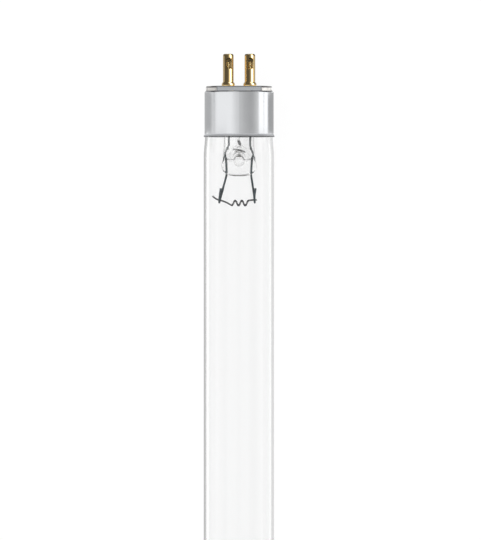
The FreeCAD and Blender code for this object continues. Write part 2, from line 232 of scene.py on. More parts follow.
def clear_glass(name, absorption, waviness, painted_edge_shade, crease_shade=None):
    """Clear glass with faint draw lines, with painted shade where it is seen edge-on and, for the stem,
    painted dark lines in its creases. Light passes to the inside.
    """
    glass_tint = 1.02
    lit_through = (0.97, 0.975, 0.975, 1)
    wall_colour = (0.5, 0.52, 0.52, 1)
    # Painted shade for the dark lines in the stem's creases.
    crease_shade_colour = (0.01, 0.012, 0.012, 1)
    made, shader = material(name)
    draw_lines = shader.noise(along_and_around(shader, 25.0, 3.0), scale=4.0, detail=2.0)
    facing = shader.add("ShaderNodeLayerWeight", {}, {"Blend": 0.5}, "Facing")
    # Painted shade: the glass turns grey where it is seen edge-on.
    edge_on = shader.between(facing, 0.6, 1.0)
    colour = shader.mix(edge_on, WHITE, (painted_edge_shade, painted_edge_shade * glass_tint, painted_edge_shade * glass_tint, 1))
    if crease_shade:
        colour = shader.mix(crease_shade(shader), colour, crease_shade_colour)
    glass = shader.surface({
        "Base Color": colour,
        "Roughness": 0.0,
        "IOR": 1.5,
        "Transmission Weight": 1.0,
        "Normal": shader.bump(draw_lines, waviness, 0.05 * MM),
    })
    lights = shader.strongest(shader.light_path("Is Shadow Ray"), shader.light_path("Is Diffuse Ray"))
    surface = shader.mix_surfaces(lights, glass, shader.transparent(lit_through))
    volume = shader.add("ShaderNodeVolumeAbsorption", {}, {"Color": wall_colour, "Density": absorption})
    shader.finish(surface, volume)
    return made


CREASE_CORE = 0.4
CREASE_FADE = 0.3


def press_crease_shade(shader):
    """Painted shade: dark lines on the upper side of a stem, along the edges where it was folded and fused in
    the burner, from 0 to 1. All in millimetres.
    """
    x, y, z = shader.from_axis(1 / MM)
    depth = FACE / MM - shader.size(x)
    side = y * shader.maths("SIGN", x) * -1
    away = shader.size(side)

    def bow(depth_at_middle, middle, curve):
        """A course that curves up or down on both sides of its middle."""
        off_middle = side - middle
        return off_middle * off_middle * curve + depth_at_middle

    def chevron(depth_at_axis, slope):
        """A course that slopes the same way on both sides of the axis."""
        return away * slope + depth_at_axis

    def line(course, start, end, half_width, strength, along=side):
        """A line that keeps to a course in depth from one sideways place to another, with faded ends."""
        across = shader.stripe(depth, course, half_width * CREASE_CORE, half_width, strength)
        begun = shader.between(along, start, start + CREASE_FADE)
        return across * begun * shader.between(along, end - CREASE_FADE, end, 1.0, 0.0)

    def oval(middle_side, middle_depth, half_width, half_height, power=2.0, slant=0.0):
        """1 on a rounded outline, less inside it and more outside it."""
        down = depth - middle_depth
        across = side - middle_side - down * slant
        sideways = shader.maths("POWER", shader.size(across) / half_width, power)
        upwards = shader.maths("POWER", shader.size(down) / half_height, power)
        return shader.maths("POWER", sideways + upwards, 1 / power)

    neck_line = shader.stripe(side, 0.05, core=0.04, edge=0.12, strength=0.4)
    neck_line = neck_line * shader.between(depth, 12.3, 12.6, 1.0, 0.0)
    exhaust_tip = oval(0.04, 12.5, half_width=0.4, half_height=0.8, slant=0.35)
    exhaust_tip = shader.between(exhaust_tip, 0.6, 1.1, 0.85, 0.0)
    exhaust_cone = line(chevron(12.75, slope=0.62), 0.3, 1.9, half_width=0.13, strength=0.17, along=away)
    fused_shoulder = line(bow(13.93, middle=-0.9, curve=0.115), -1.5, 1.45, half_width=0.19, strength=0.9)
    pocket = oval(0.05, 15.25, half_width=2.05, half_height=0.95, power=3.0)
    pocket = shader.stripe(pocket, 1, core=0.03, edge=0.11, strength=0.1)
    hole_rim = oval(0.0, HOLE_DEPTH, half_width=1.12, half_height=1.12)
    hole_rim = shader.stripe(hole_rim, 1, core=0.05, edge=0.16)
    hole_rim = hole_rim * shader.between(depth, 15.6, 16.6, 0.9, 0.25)
    folds = line(chevron(16.86, slope=-0.22), 1.3, 3.5, half_width=0.15, strength=0.3, along=away)
    foot = line(bow(19.6245, middle=-0.3, curve=-0.05), -2.4, 2.25, half_width=0.2, strength=0.65)
    chill_line_shade = [line(chill, -3.9, -3.2, half_width=0.12, strength=0.5) for chill in (16.25, 17.0, 18.0)]
    crease_shade = shader.strongest(
        fused_shoulder, exhaust_cone, exhaust_tip, neck_line, folds, pocket, hole_rim, foot, *chill_line_shade
    )
    # The painted shade is kept to the stem's upper side.
    upper_side = shader.between(z, 0.2, 0.5)
    return crease_shade * upper_side


def cap_places(shader):
    """The raised end of a cap, and on it the two flats and the round blocks beside them, from 0 to 1."""
    x, y, z = shader.from_axis()
    raised = shader.between(shader.size(x), LEDGE_X, LEDGE_X + 0.1 * MM)
    flats = raised * shader.between(shader.size(z), FLAT_HEIGHT, FLAT_HEIGHT + 0.2 * MM)
    blocks = raised * shader.between(shader.size(y), BLOCK_EDGE, BLOCK_EDGE + 0.2 * MM)
    return raised, flats, blocks


def cap_edge_shade(shader, raised, blocks):
    """Painted shade: dark lines in the groove under the raised end, round the rim of the face and along the
    edges and ends of the blocks, from 0 to 1. At the mouth's cut edge the line is partly the duller cut metal
    and partly painted shade under the lip.
    """
    x, y = shader.from_axis()[:2]
    along = shader.size(x)
    away = shader.size(y)
    cut_edge = shader.between(along, MOUTH_X + 0.1 * MM, MOUTH_X + 0.25 * MM, 1.0, 0.0)
    groove = shader.stripe(along, LEDGE_X - 0.05 * MM, core=0.06 * MM, edge=0.16 * MM)
    groove = groove * shader.between(away, 2.2 * MM, 2.6 * MM, 0.35, 0.85)
    rim = shader.between(along, FACE - 0.25 * MM, FACE - 0.12 * MM, 0.0, 0.4) * (1 - blocks)
    block_rim = shader.stripe(along, FACE - 0.28 * MM, core=0.08 * MM, edge=0.2 * MM, strength=0.85) * blocks
    block_end = shader.stripe(away, BLOCK_END, core=0.05 * MM, edge=0.16 * MM, strength=0.5) * blocks
    corner_place = BLOCK_EDGE + 0.05 * MM
    block_corner = shader.stripe(away, corner_place, core=0.06 * MM, edge=0.2 * MM, strength=0.5) * raised
    return shader.strongest(cut_edge, rim, block_rim, block_end, groove, block_corner)


def drawn_aluminium():
    """Satin sheet with draw lines along the cap, a few cross lines from the roller and dull patches, with
    painted shade on the flats, a painted warm reflection on the blocks and painted dark lines at its edges.
    """
    bright_sheet = (0.83, 0.843, 0.862, 1)
    dull_sheet = (0.775, 0.787, 0.805, 1)
    # Painted reflection: the flats are coloured darker and bluer for the grey they mirror.
    flat_painted_shade = (0.65, 0.672, 0.695, 1)
    # Painted reflection: a warm tint on the round blocks.
    block_painted_warm_reflection = (0.82, 0.795, 0.76, 1)
    # Painted shade: the colour of the dark lines at the cap's edges, groove and cut edge.
    edge_shade_colour = (0.2, 0.2, 0.21, 1)
    made, shader = material("drawn_aluminium")
    draw_lines = shader.noise(along_and_around(shader, 60.0, 55.0), scale=3.0, detail=4.0)
    cross_lines = shader.noise(along_and_around(shader, 9000.0, 1.5), scale=1.0, detail=2.0)
    patches = shader.grain(300)
    raised, flats, blocks = cap_places(shader)
    colour = shader.mix(patches, dull_sheet, bright_sheet)
    colour = shader.mix(flats, colour, flat_painted_shade)
    colour = shader.mix(blocks, colour, block_painted_warm_reflection)
    colour = shader.mix(cap_edge_shade(shader, raised, blocks), colour, edge_shade_colour)
    along = shader.size(shader.from_axis()[0])
    rough_lip = shader.between(along, MOUTH_X + 0.6 * MM, MOUTH_X + 0.7 * MM, 0.4, 0.0)
    shader.finish(shader.surface({
        "Base Color": colour,
        "Metallic": 1.0,
        "Roughness": shader.between(patches, 0.2, 0.8, 0.13, 0.2) + rough_lip,
        "Normal": shader.bump(draw_lines * 0.7 + cross_lines * 0.3, 0.12, 0.01 * MM),
    }))
    return made


def polished_brass():
    """Drawn brass tube with turning lines and a little tarnish, dull and darker inside its bore, with painted
    shade deeper in the bore towards the tip.
    """
    bright_brass = (0.87, 0.66, 0.34, 1)
    tarnished_brass = (0.75, 0.54, 0.25, 1)
    bore_by_wire = (0.8, 0.64, 0.34, 1)
    # Painted shade: the bore darkens beyond the end of the wire, towards the tip.
    bore_shade_at_tip = (0.32, 0.26, 0.13, 1)
    made, shader = material("polished_brass")
    x, y, z = shader.from_axis()
    from_pin_line = shader.size(y) - PIN_SPACING / 2
    from_centre = shader.maths("SQRT", from_pin_line * from_pin_line + z * z)
    skin = shader.between(from_centre, 0.9 * MM, 1.08 * MM)
    turning = shader.grain((7000, 200, 200), detail=2.0)
    tarnish = shader.grain(500, detail=4.0)
    polished = shader.mix(tarnish, bright_brass, tarnished_brass)
    beyond_wire = shader.between(shader.size(x), FACE + 4.9 * MM, FACE + 5.6 * MM)
    bore = shader.mix(beyond_wire, bore_by_wire, bore_shade_at_tip)
    shader.finish(shader.surface({
        "Base Color": shader.mix(skin, bore, polished),
        "Metallic": skin,
        "Roughness": shader.between(tarnish, 0.3, 0.75, 0.05, 0.11) + (1 - skin) * 0.5,
        "Normal": shader.bump(turning, 0.06, 0.01 * MM),
    }))
    return made


def nickel_wire():
    """Drawn nickel-plated wire, dulled by the heat of the seal and brassy where a pin is crimped on it."""
    dark_scale = (0.02, 0.034, 0.04, 1)
    grey_nickel = (0.08, 0.105, 0.115, 1)
    crimped_end = (0.5, 0.4, 0.2, 1)
    made, shader = material("nickel_wire")
    scale = shader.grain((900, 2500, 2500), detail=4.0)
    crimped = shader.between(shader.size(shader.from_axis()[0]), FACE, FACE + 1 * MM)
    drawn = shader.mix(scale, dark_scale, grey_nickel)
    shader.finish(shader.surface({
        "Base Color": shader.mix(crimped, drawn, crimped_end),
        "Metallic": 1.0,
        "Roughness": shader.between(scale, 0.3, 0.7, 0.3, 0.5),
        "Normal": shader.bump(scale, 0.2, 0.01 * MM),
    }))
    return made


def coated_tungsten():
    """Dark wound tungsten with a dusting of pale emitter between its turns."""
    bare_tungsten = (0.06, 0.06, 0.065, 1)
    pale_emitter = (0.3, 0.29, 0.28, 1)
    made, shader = material("coated_tungsten")
    dust = shader.grain(2600, detail=5.0, roughness=0.7)
    cover = shader.between(dust, 0.56, 0.7)
    shader.finish(shader.surface({
        "Base Color": shader.mix(cover, bare_tungsten, pale_emitter),
        "Metallic": 0.8 - cover * 0.8,
        "Roughness": 0.4 + cover * 0.4,
        "Normal": shader.bump(dust, 0.3, 0.01 * MM),
    }))
    return made


def basing_cement():
    """Grainy fired cement."""
    dark_grain = (0.6, 0.53, 0.4, 1)
    pale_grain = (0.78, 0.72, 0.6, 1)
    made, shader = material("basing_cement")
    grain = shader.grain(1800, detail=6.0, roughness=0.7)
    shader.finish(shader.surface({
        "Base Color": shader.mix(grain, dark_grain, pale_grain),
        "Roughness": 0.75 + grain * 0.2,
        "Normal": shader.bump(grain, 0.6, 0.05 * MM),
    }))
    return made


def moulded_phenolic():
    """Dark brown moulding with pale flecks of filler."""
    brown_resin = (0.1, 0.045, 0.025, 1)
    pale_filler = (0.26, 0.14, 0.08, 1)
    made, shader = material("moulded_phenolic")
    flecks = shader.grain(2200, detail=6.0, roughness=0.75)
    shader.finish(shader.surface({
        "Base Color": shader.mix(shader.between(flecks, 0.6, 0.75), brown_resin, pale_filler),
        "Roughness": 0.4 + flecks * 0.25,
        "Normal": shader.bump(flecks, 0.25, 0.02 * MM),
    }))
    return made


def liquid_mercury():
    """A liquid mirror with a thin grey skin."""
    clean_mercury = (0.8, 0.81, 0.82, 1)
    grey_skin = (0.66, 0.67, 0.69, 1)
    made, shader = material("liquid_mercury")
    skin = shader.grain(1200)
    shader.finish(shader.surface({
        "Base Color": shader.mix(skin, clean_mercury, grey_skin),
        "Metallic": 1.0,
        "Roughness": shader.between(skin, 0.45, 0.75, 0.02, 0.18),
    }))
    return made


# Studio

# In pixels: the photo's size, the cap's face and the lamp's axis. The spacing of the pins gives the scale.
PHOTO_WIDTH = 481
PHOTO_HEIGHT = 540
PIXELS_PER_MM = 4.547
FACE_ROW = 86.2
AXIS_COLUMN = 239.1
SENSOR = 36.0
CAMERA_HEIGHT = 2000 * MM


def camera():
    """Looks straight down on end A, which points to the top of the picture."""
    view_height = PHOTO_HEIGHT / PIXELS_PER_MM * MM
    face_above_centre = (PHOTO_HEIGHT / 2 - FACE_ROW) / PIXELS_PER_MM * MM
    axis_left_of_centre = (PHOTO_WIDTH / 2 - AXIS_COLUMN) / PIXELS_PER_MM * MM
    data = bpy.data.cameras.new("camera")
    data.sensor_fit = "VERTICAL"
    data.sensor_height = SENSOR
    data.lens = SENSOR * CAMERA_HEIGHT / view_height
    data.clip_start = 0.01
    data.clip_end = 20
    eye = bpy.data.objects.new("camera", data)
    eye.location = (FACE - face_above_centre, -axis_left_of_centre, AXIS_HEIGHT + CAMERA_HEIGHT)
    eye.rotation_euler = (0, 0, -math.pi / 2)
    bpy.context.scene.collection.objects.link(eye)
    bpy.context.scene.camera = eye


def ray_kinds(shader):
    """Three switches, 0 or 1: seen directly or straight through glass, seen in a mirror, lights a surface."""
    direct = shader.strongest(shader.light_path("Is Camera Ray"), shader.light_path("Is Transmission Ray"))
    mirrored = shader.maths("MINIMUM", shader.light_path("Glossy Depth"), 1.0)
    return direct * (1 - mirrored), mirrored, (1 - direct) * (1 - mirrored)


# Levels of the studio by the angle round the lamp, for the pins round each pin, in degrees from straight up
# to the right. The caps mirror a broad soft light on the left, a grey gap over the lamp and a bright narrow
# light low on the right.
AROUND_CAP = (
    (-180, 0.5), (-125, 0.5), (-105, 0.68), (-88, 0.86), (-78, 1.0), (-27, 1.0), (-10, 0.77), (4, 0.62),
    (17, 0.5), (37, 0.43), (46, 0.45), (57, 0.58), (69, 0.75), (70.5, 1.3), (110, 1.3), (114, 0.6),
    (125, 0.45), (180, 0.4),
)
AROUND_PINS = (
    (-95, 0.3), (-78, 0.12), (-15, 0.12), (5, 0.3), (22, 0.6), (34, 1.5), (42, 5.5), (60, 5.5), (70, 0.9),
    (95, 0.5),
)
AROUND_LEDGE = ((-95, 0.3), (-30, 0.22), (0, 0.22), (30, 0.28), (60, 0.4), (95, 0.4))
AROUND_TUBE = (
    (-95, 0.8), (-60, 0.65), (-42, 0.7), (-36, 0.95), (-12, 0.9), (0, 0.65), (50, 0.5), (70, 0.8), (95, 1.0),
)
BRIGHTEST = 6.0
TOWARDS_ENDS = 0.5


def level_around(shader, across, up, stops):
    """The level at a place across and up from the lamp, from stops of angle and level."""
    angle = shader.maths("ARCTAN2", across, up)
    ramp_stops = [(0.5 + degrees / 360, level / BRIGHTEST) for degrees, level in stops]
    ramp = shader.add("ShaderNodeValToRGB", {"stops": ramp_stops}, {"Fac": angle / (2 * math.pi) + 0.5})
    return ramp * BRIGHTEST


def world():
    """White to the eye, the levels round the cap to what mirrors it, dimmer at both ends, and even light."""
    light_level = 0.85
    made = bpy.context.scene.world or bpy.data.worlds.new("studio")
    bpy.context.scene.world = made
    shader = Shader(made)
    x, y, z = shader.split(shader.add("ShaderNodeTexCoord", {}, {}, "Generated"))
    ends = shader.between(shader.size(x), 0.4, 0.95, 1.0, TOWARDS_ENDS)
    around = level_around(shader, 0 - y, z, AROUND_CAP) * ends
    straight, mirrored, lighting = ray_kinds(shader)
    level = straight + mirrored * around + lighting * light_level
    background = shader.add("ShaderNodeBackground", {}, {"Color": level, "Strength": 1.0})
    shader.add("ShaderNodeOutputWorld", {}, {"Surface": background})


def floor_in_mirror(shader):
    """The floor's level to what mirrors it. It gives the glass and the caps their dark and pale edges."""
    x, y = shader.split(shader.position((1, 1, 1)))[:2]
    away = shader.size(y)

    def sides(right, left):
        """One level on the right of the lamp and another on its left."""
        return shader.between(y, -3 * MM, 3 * MM, right, left)

    brightest = sides(1.35, 1.8)
    by_tube = shader.between(away, 14 * MM, 17.5 * MM, sides(0.75, 0.56), brightest)
    by_tube = by_tube - shader.between(away, 18 * MM, 28 * MM, 0.0, brightest - 0.95)
    near_grey = 0.42
    near = shader.between(away, 6 * MM, 15 * MM, 0.1, 0.0)
    right = shader.between(0 - y, 30 * MM, 42 * MM, near_grey, 1.3)
    left = shader.between(y, 30 * MM, 70 * MM, 0.5, 0.72)
    by_cap = near + right + sides(0.0, 1.0) * (left - near_grey)
    by_end = sides(1.35, 0.85)
    beside_cap = shader.between(x, MOUTH_X, MOUTH_X + 1.5 * MM)
    beside_end = shader.between(x, FACE - 0.9 * MM, FACE - 0.5 * MM)
    beside_end = beside_end * shader.between(x, FACE + 1.5 * MM, FACE, 0.0, 1.0)
    beyond_pins = shader.between(x, FACE + 8 * MM, FACE + 10 * MM, 1.0, 0.15)
    return (by_tube + beside_cap * (by_cap - by_tube) + beside_end * (by_end - by_cap)) * beyond_pins


def floor():
    """White to the eye and through the glass, grey in a mirror, with a faint shadow. Clear from below."""
    own_level = 0.93
    shadow_share = 0.09
    light_share = 0.75
    bpy.ops.mesh.primitive_plane_add(size=6, location=(0, 0, -0.02 * MM))
    plane = bpy.context.object
    plane.name = "floor"
    made, shader = material("studio_floor")
    straight, mirrored, lighting = ray_kinds(shader)
    glow = straight * own_level + mirrored * floor_in_mirror(shader)
    lit = shader.mix(lighting * light_share + straight * shadow_share, BLACK, WHITE)
    diffuse = shader.add("ShaderNodeBsdfDiffuse", {}, {"Color": lit})
    upper_side = shader.add("ShaderNodeAddShader", {}, {0: diffuse, 1: shader.emission(glow)})
    from_below = shader.add("ShaderNodeNewGeometry", {}, {}, "Backfacing")
    shader.finish(shader.mix_surfaces(from_below, upper_side, shader.transparent()))
    plane.data.materials.append(made)


def studio_arch(name, start, end, radius, stops, sideways=0.0, foot=0.0):
    """A half round of soft light over part of the lamp, which only surfaces under it mirror."""
    select_nothing()
    bpy.ops.mesh.primitive_cylinder_add(
        vertices=96, radius=radius, depth=end - start, end_fill_type="NOTHING", rotation=(0, math.pi / 2, 0)
    )
    arch = bpy.context.object
    arch.name = name
    arch.location = ((start + end) / 2, -sideways, AXIS_HEIGHT)
    bpy.ops.object.transform_apply(location=True, rotation=True, scale=True)
    bpy.ops.object.mode_set(mode="EDIT")
    bpy.ops.mesh.select_all(action="SELECT")
    bpy.ops.mesh.bisect(plane_co=(0, 0, AXIS_HEIGHT + foot), plane_no=(0, 0, 1), clear_inner=True)
    bpy.ops.object.mode_set(mode="OBJECT")
    made, shader = material(name)
    y, z = shader.from_axis(sideways=sideways)[1:]
    glow = shader.emission(level_around(shader, 0 - y, z, stops))
    from_under = shader.add("ShaderNodeNewGeometry", {}, {}, "Backfacing")
    mirrored = ray_kinds(shader)[1] * from_under
    shader.finish(shader.mix_surfaces(mirrored, shader.transparent(), glow))
    arch.data.materials.append(made)
    arch.visible_camera = False
    arch.visible_shadow = False


ARCHES_END = FACE + 9 * MM
LEDGE_ARCH_RADIUS = 25 * MM
TUBE_ARCH_RADIUS = 60 * MM
PIN_ARCH_RADIUS = 2.3 * MM
# Just inside the skin of a pin. It sets where on its arch a pin mirrors each direction.
PIN_MIRROR_RADIUS = 1.09 * MM


def pin_arches():
    """A low arch close over each pin of end A. The cap is too high to mirror it."""

    def seen_in_pin(degrees):
        """Where on its arch a pin mirrors what would come from this direction."""
        tilt = math.radians(degrees / 2)
        return degrees - math.degrees(math.asin(PIN_MIRROR_RADIUS / PIN_ARCH_RADIUS * math.sin(tilt)))

    stops = [(seen_in_pin(degrees), level) for degrees, level in AROUND_PINS]
    foot = PIN_ARCH_RADIUS * math.cos(math.radians(seen_in_pin(90)))
    for number, sideways in ((1, -PIN_SPACING / 2), (2, PIN_SPACING / 2)):
        name = "arch_over_pin_%d" % number
        studio_arch(name, FACE + 0.3 * MM, ARCHES_END, PIN_ARCH_RADIUS, stops, sideways, foot)


def arches():
    pin_arches()
    studio_arch("arch_over_ledge", FACE + 1 * MM, ARCHES_END, LEDGE_ARCH_RADIUS, AROUND_LEDGE)
    studio_arch("arch_over_tube", -MOUTH_X, MOUTH_X + 1 * MM, TUBE_ARCH_RADIUS, AROUND_TUBE)


KEY_SIZE = 400 * MM
KEY_PLACE = (200 * MM, 300 * MM, 500 * MM)


def key_lamp():
    """A weak square lamp, up on the left, for the floor's faint shadow."""
    data = bpy.data.lights.new("soft_key", "AREA")
    data.size = KEY_SIZE
    data.energy = 1.0
    lamp = bpy.data.objects.new("soft_key", data)
    lamp.location = KEY_PLACE
    lamp.rotation_euler = Vector(lamp.location).to_track_quat("Z", "Y").to_euler()
    lamp.visible_glossy = False
    bpy.context.scene.collection.objects.link(lamp)


# Modelling, in millimetres until a piece is handed over

FACE_MM = FACE / MM
AXIS_MM = AXIS_HEIGHT / MM
MERGE_DISTANCE = 0.001
SHARP_ANGLE = math.radians(40)


def place(depth, sideways=0.0, up=0.0):
    """A point of end A, by its depth behind the cap's face and its distance to the right of the axis."""
    return Vector((FACE_MM - depth, -sideways, AXIS_MM + up))


def select_nothing():
    if bpy.context.object and bpy.context.object.mode != "OBJECT":
        bpy.ops.object.mode_set(mode="OBJECT")
    bpy.ops.object.select_all(action="DESELECT")


def make_active(piece):
    select_nothing()
    piece.select_set(True)
    bpy.context.view_layer.objects.active = piece


def new_piece(name):
    """The primitive that was added last, named and open for editing with all of it selected."""
    piece = bpy.context.object
    piece.name = name
    bpy.ops.object.mode_set(mode="EDIT")
    bpy.ops.mesh.select_all(action="SELECT")
    return piece


def close_piece():
    """Ends the editing of a closed shape."""
    bpy.ops.mesh.select_all(action="SELECT")
    bpy.ops.mesh.remove_doubles(threshold=MERGE_DISTANCE)
    bpy.ops.mesh.normals_make_consistent(inside=False)
    bpy.ops.object.mode_set(mode="OBJECT")


def lathe(name, profile, steps):
    """A closed profile of depths and radii, drawn by extruding a corner and spun round the lamp's axis."""
    points = [place(depth, 0, radius) for depth, radius in profile]
    points.append(points[0])
    select_nothing()
    bpy.ops.mesh.primitive_plane_add(size=1)
    piece = new_piece(name)
    bpy.ops.mesh.merge(type="CENTER")
    bpy.ops.transform.translate(value=points[0])
    for before, after in zip(points, points[1:]):
        bpy.ops.mesh.extrude_region_move(TRANSFORM_OT_translate={"value": after - before})
    bpy.ops.mesh.select_all(action="SELECT")
    bpy.ops.mesh.spin(steps=steps, angle=2 * math.pi, center=place(0), axis=(1, 0, 0))
    close_piece()
    return piece


def loft(name, stations, flat_width=0.0, sideways=0.0):
    """An oval or, with a flat width, an obround section that runs through depths, half widths and heights."""
    depth, half_width, half_height = stations[0]
    start = place(depth, sideways)
    select_nothing()
    bpy.ops.mesh.primitive_circle_add(
        vertices=48, radius=1, fill_type="NGON", rotation=(0, math.pi / 2, 0), location=start
    )
    piece = new_piece(name)
    round_half = half_width - flat_width / 2
    bpy.ops.transform.resize(value=(1, round_half, half_height), center_override=start)
    if flat_width:
        part_halves(piece, flat_width / 2)
    for before, after in zip(stations, stations[1:]):
        step = {"value": place(after[0]) - place(before[0])}
        bpy.ops.mesh.extrude_region_move(TRANSFORM_OT_translate=step)
        growth = (1, after[1] / before[1], after[2] / before[2])
        bpy.ops.transform.resize(value=growth, center_override=place(after[0], sideways))
    close_piece()
    return piece


def part_halves(piece, distance):
    """Moves the left and right halves of a round section apart, which leaves it with a flat top and foot."""
    for side in (-1, 1):
        bpy.ops.mesh.select_all(action="DESELECT")
        bpy.ops.object.mode_set(mode="OBJECT")
        centre = piece.location.y
        for corner in piece.data.vertices:
            beyond = (piece.matrix_world @ corner.co).y * side - centre * side
            corner.select = beyond > MERGE_DISTANCE
        bpy.ops.object.mode_set(mode="EDIT")
        bpy.ops.transform.translate(value=(0, side * distance, 0))
    bpy.ops.mesh.select_all(action="SELECT")


def arc_points(start, end, count):
    """Points of an arc that leaves start along the axis and reaches end, each a depth and a radius."""
    run = end[0] - start[0]
    rise = end[1] - start[1]
    turn = 2 * math.atan2(abs(rise), abs(run))
    radius = (run * run + rise * rise) / (2 * abs(rise))
    points = []
    for step in range(1, count + 1):
        part = turn * step / count
        along = math.copysign(radius * math.sin(part), run)
        across = math.copysign(radius * (1 - math.cos(part)), rise)
        points.append((start[0] + along, start[1] + across))
    return points


def apply_modifier(piece, kind, **settings):
    make_active(piece)
    modifier = piece.modifiers.new(kind.lower(), kind)
    for name, setting in settings.items():
        setattr(modifier, name, setting)
    bpy.ops.object.modifier_apply(modifier=modifier.name)


def combine(piece, tool, operation):
    """Adds the tool's shape to the piece or cuts it away, and removes the tool."""
    for each in (piece, tool):
        make_active(each)
        bpy.ops.object.transform_apply(location=True, rotation=True, scale=True)
    apply_modifier(piece, "BOOLEAN", object=tool, operation=operation, solver="EXACT")
    bpy.data.objects.remove(tool)
    return piece


def to_metres(piece):
    make_active(piece)
    piece.scale = (MM, MM, MM)
    piece.location = piece.location * MM
    bpy.ops.object.transform_apply(location=True, rotation=True, scale=True)


def other_end(piece, name):
    """A copy turned half a turn about the vertical, for end B."""
    copy = piece.copy()
    copy.data = piece.data.copy()
    copy.name = name
    copy.data.transform(Matrix.Rotation(math.pi, 4, "Z"))
    bpy.context.scene.collection.objects.link(copy)
    return copy


def hand_over(piece, node, finish):
    """A finished piece takes the place of its CAD node."""
    piece.data.materials.clear()
    piece.data.materials.append(finish)
    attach(piece, "root")
    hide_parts(node)


def hand_over_both_ends(piece, node, finish):
    """The piece of end A and its copy for end B take the places of their CAD nodes."""
    copy = other_end(piece, piece.name.replace("_a", "_b"))
    hand_over(piece, node, finish)
    hand_over(copy, node.replace("_a", "_b"), finish)


# Glass tube

TUBE_WALL = 0.75
NECK_RADIUS = 7.1
SEAT_TOP = 10.55
SEAT_FOOT = 11.15
SEAT_RADIUS = 7.44
# Depths, each with its share of the growth from the seat to the full radius
TAPER = ((11.5, 0.02), (12.0, 0.12), (13.0, 0.42), (14.0, 0.74), (14.6, 0.9), (15.2, 0.97), (15.8, 1.0))
FULL_RADIUS = 7.72
TUBE_OFF_CENTRE = 0.06


def ogee(start, end):
    """Points of two arcs, in an S, from start to end."""
    middle = ((start[0] + end[0]) / 2, (start[1] + end[1]) / 2)
    upper = arc_points(start, middle, count=8)
    lower = arc_points(end, middle, count=8)
    return upper + list(reversed(lower))[1:] + [end]


def tube_wall(inset):
    """One side of the tube's wall, from its rim at end A to the full radius."""
    neck = NECK_RADIUS - inset
    seat = SEAT_RADIUS - inset
    points = [(FACE_MM - tube_high[0] / MM, neck), (SEAT_TOP, neck)]
    points += ogee((SEAT_TOP, neck), (SEAT_FOOT, seat))
    return points + [(depth, seat + share * (FULL_RADIUS - SEAT_RADIUS)) for depth, share in TAPER]


def with_other_end(wall):
    """The same wall again from end B's full radius to its rim."""
    return wall + [(2 * FACE_MM - depth, radius) for depth, radius in reversed(wall)]


def glass_tube(finish):
    """The tube, as one closed wall. Its ends are drawn in to a narrower neck that sits in the cap."""
    outside = with_other_end(tube_wall(0))
    inside = with_other_end(tube_wall(TUBE_WALL))
    tube = lathe("clear_tube", outside + list(reversed(inside)), steps=192)
    bpy.ops.object.shade_smooth_by_angle(angle=SHARP_ANGLE)
    tube.location.y += TUBE_OFF_CENTRE
    to_metres(tube)
    hand_over(tube, "glass_tube", finish)


# Stem

FLARE_TOP = 4.2
FLARE_RIM = 1.0
FLARE_RADIUS = 6.3
STEM_RADIUS = 3.35
STEM_WALL = 0.27
STEM_INSIDE = STEM_RADIUS - STEM_WALL
STEM_THROAT = 8.8
PRESS_FOOT = 19.8
HOLLOW_FOOT = 16.2
EXHAUST_RADIUS = 1.3
EXHAUST_TIP = 11.9
# The blown hole is a cone that opens upwards from the axis, and its radius is the one at half its height
HOLE_DEPTH = 16.45
HOLE_RADIUS = 1.3
HOLE_FOOT_RADIUS = 0.75
HOLE_HEIGHT = 2.6
# The stations of the ovals are depths, half widths and half heights
SQUEEZED_STRETCH = (
    (13.0, STEM_RADIUS, STEM_RADIUS), (13.8, 3.4, 3.2), (14.6, 3.5, 2.6), (15.4, 3.58, 1.9),
    (16.2, 3.65, 1.35), (16.8, 3.55, 1.0),
)
PRESS_FLAT_WIDTH = 5.9
PRESS_FLAT = (
    (15.2, 3.3, 0.9), (15.8, 3.55, 1.2), (16.4, 3.6, 1.25), (17.2, 3.9, 1.3), (18.0, 3.85, 1.3),
    (18.7, 3.5, 1.25), (19.1, 3.1, 1.1), (19.45, 2.7, 0.95), (19.65, 2.0, 0.75), (PRESS_FOOT, 1.0, 0.4),
)
PINCHED_HOLLOW = (
    (13.2, STEM_INSIDE, STEM_INSIDE), (14.0, 3.12, 2.6), (14.6, 3.2, 1.9), (15.2, 3.27, 1.2),
    (15.8, 3.25, 0.65), (HOLLOW_FOOT, 3.15, 0.25),
)
# The round profiles are depths and radii
EXHAUST_TUBE = (
    (EXHAUST_TIP, 0), (EXHAUST_TIP + 0.1, 0.2), (13.0, 0.28), (13.9, 0.35), (14.4, 0.6), (14.8, 1.0),
    (15.2, EXHAUST_RADIUS), (17.2, EXHAUST_RADIUS), (17.2, 0),
)
EXHAUST_BORE = (
    (14.6, 0), (14.7, 0.3), (15.0, 0.7), (15.5, 0.9), (16.4, 0.95), (17.0, 0.7), (17.2, 0.3), (17.2, 0),
)
VOXEL = 0.103


def flare(name, top, radius_at_rim, radius, foot):
    """A solid trumpet from the rim down to a round bar that ends at the foot."""
    rim_foot = (FLARE_TOP + FLARE_RIM, radius_at_rim)
    throat = (STEM_THROAT, radius)
    profile = [(top, 0), (top, radius_at_rim), rim_foot]
    profile += list(reversed(arc_points(throat, rim_foot, count=12)))[1:]
    profile += [throat, (foot, radius), (foot, 0)]
    return lathe(name, profile, steps=64)


def squeezed_glass(name):
    """The outside of the stem: the flare, the round tube, the squeezed stretch and the flat of the press."""
    body = flare(name, FLARE_TOP, FLARE_RADIUS, STEM_RADIUS, foot=13.6)
    combine(body, loft("squeeze", SQUEEZED_STRETCH), "UNION")
    return combine(body, loft("slab", PRESS_FLAT, PRESS_FLAT_WIDTH), "UNION")


